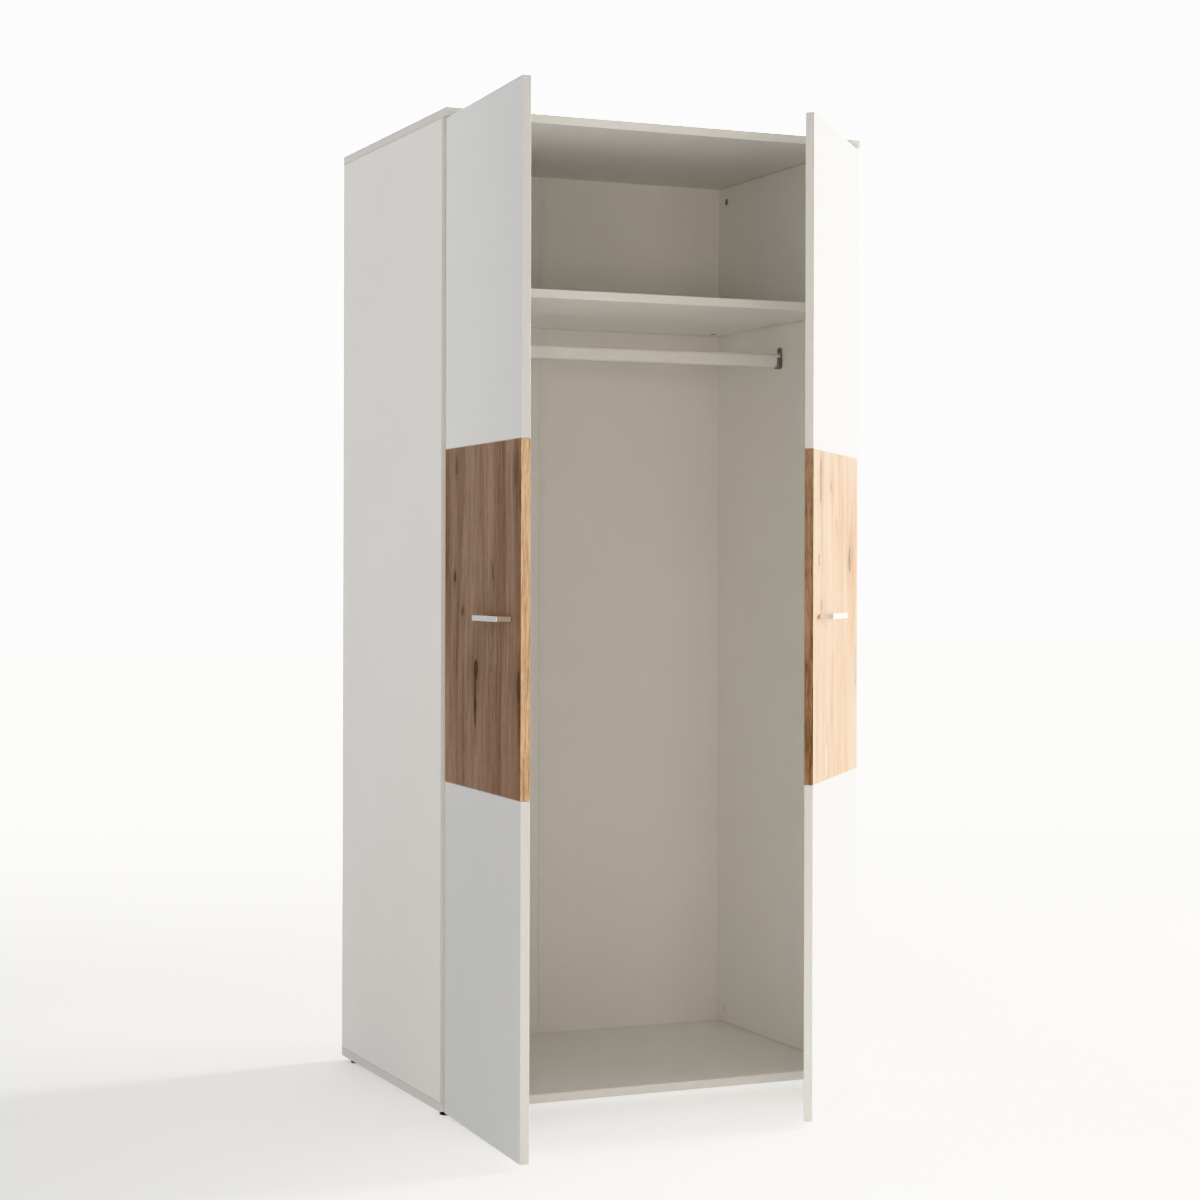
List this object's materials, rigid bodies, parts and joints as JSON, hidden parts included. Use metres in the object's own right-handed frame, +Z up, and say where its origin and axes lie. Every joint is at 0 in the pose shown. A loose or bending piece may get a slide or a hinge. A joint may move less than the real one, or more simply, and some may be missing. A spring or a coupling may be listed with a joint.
{
  "type": "wardrobe with doors",
  "caption": "Tall board wardrobe with hinged doors in white and oak sections, bar handles, a hat shelf and a hanging rail.",
  "frame": {"origin": "centre of the underside of the bottom panel, 10 mm above the floor that the feet stand on", "axes": "+X to the right of someone facing the doors, +Y towards the wall, +Z up"},
  "size_m": [0.9877, 1.1212, 2.01],
  "materials": {
    "carcass_board": "satin white melamine on chipboard",
    "door_gloss_white": "high gloss white laminate on chipboard",
    "door_oak": "knotty oak decor with a fine pore texture",
    "back_board": "matt white printed hardboard",
    "strip_plastic": "satin white extruded profile",
    "rail_coating": "white powder-coated steel tube",
    "cast_zinc": "die-cast zinc",
    "hinge_steel": "nickel-plated pressed steel",
    "plate_steel": "zinc-plated steel",
    "handle_metal": "satin brushed",
    "foot_plastic": "moulded dark plastic"
  },
  "bodies": {
    "carcass": {"top_panel": "carcass_board", "bottom_panel": "carcass_board", "hat_shelf": "carcass_board", "back_joint_strip": "strip_plastic", "hanging_rail": "rail_coating", "left_side_panel": "carcass_board", "back_panel_left": "back_board", "rail_bracket_left": "cast_zinc", "foot_left_front": "foot_plastic", "foot_left_rear": "foot_plastic", "top_cam_left_front": "cast_zinc", "bottom_cam_left_front": "cast_zinc", "shelf_cam_left_front": "cast_zinc", "top_cam_left_rear": "cast_zinc", "bottom_cam_left_rear": "cast_zinc", "shelf_cam_left_rear": "cast_zinc", "left_hinge_arm_1": "hinge_steel", "left_hinge_arm_2": "hinge_steel", "left_hinge_arm_3": "hinge_steel", "left_hinge_arm_4": "hinge_steel", "right_side_panel": "carcass_board", "back_panel_right": "back_board", "rail_bracket_right": "cast_zinc", "foot_right_front": "foot_plastic", "foot_right_rear": "foot_plastic", "top_cam_right_front": "cast_zinc", "bottom_cam_right_front": "cast_zinc", "shelf_cam_right_front": "cast_zinc", "top_cam_right_rear": "cast_zinc", "bottom_cam_right_rear": "cast_zinc", "shelf_cam_right_rear": "cast_zinc", "right_hinge_arm_1": "hinge_steel", "right_hinge_arm_2": "hinge_steel", "right_hinge_arm_3": "hinge_steel", "right_hinge_arm_4": "hinge_steel"},
    "left_door": {"left_door_lower_section": "door_gloss_white", "left_door_middle_section": "door_oak", "left_door_upper_section": "door_gloss_white", "left_door_lower_joint_plate": "plate_steel", "left_door_upper_joint_plate": "plate_steel", "left_handle": "handle_metal", "left_handle_screw_a": "plate_steel", "left_handle_screw_b": "plate_steel", "left_hinge_cup_1": "hinge_steel", "left_hinge_cup_2": "hinge_steel", "left_hinge_cup_3": "hinge_steel", "left_hinge_cup_4": "hinge_steel"},
    "right_door": {"right_door_lower_section": "door_gloss_white", "right_door_middle_section": "door_oak", "right_door_upper_section": "door_gloss_white", "right_door_lower_joint_plate": "plate_steel", "right_door_upper_joint_plate": "plate_steel", "right_handle": "handle_metal", "right_handle_screw_a": "plate_steel", "right_handle_screw_b": "plate_steel", "right_hinge_cup_1": "hinge_steel", "right_hinge_cup_2": "hinge_steel", "right_hinge_cup_3": "hinge_steel", "right_hinge_cup_4": "hinge_steel"}
  },
  "joints": [
    {"name": "left_door_hinge", "type": "hinge", "parent": "carcass", "child": "left_door", "pos_m": [-0.4645, -0.338, 0.99], "axis": [0, 0, -1], "range_deg": [-93, 17]},
    {"name": "right_door_hinge", "type": "hinge", "parent": "carcass", "child": "right_door", "pos_m": [0.4645, -0.338, 0.99], "axis": [0, 0, 1], "range_deg": [-50, 60]}
  ]
}
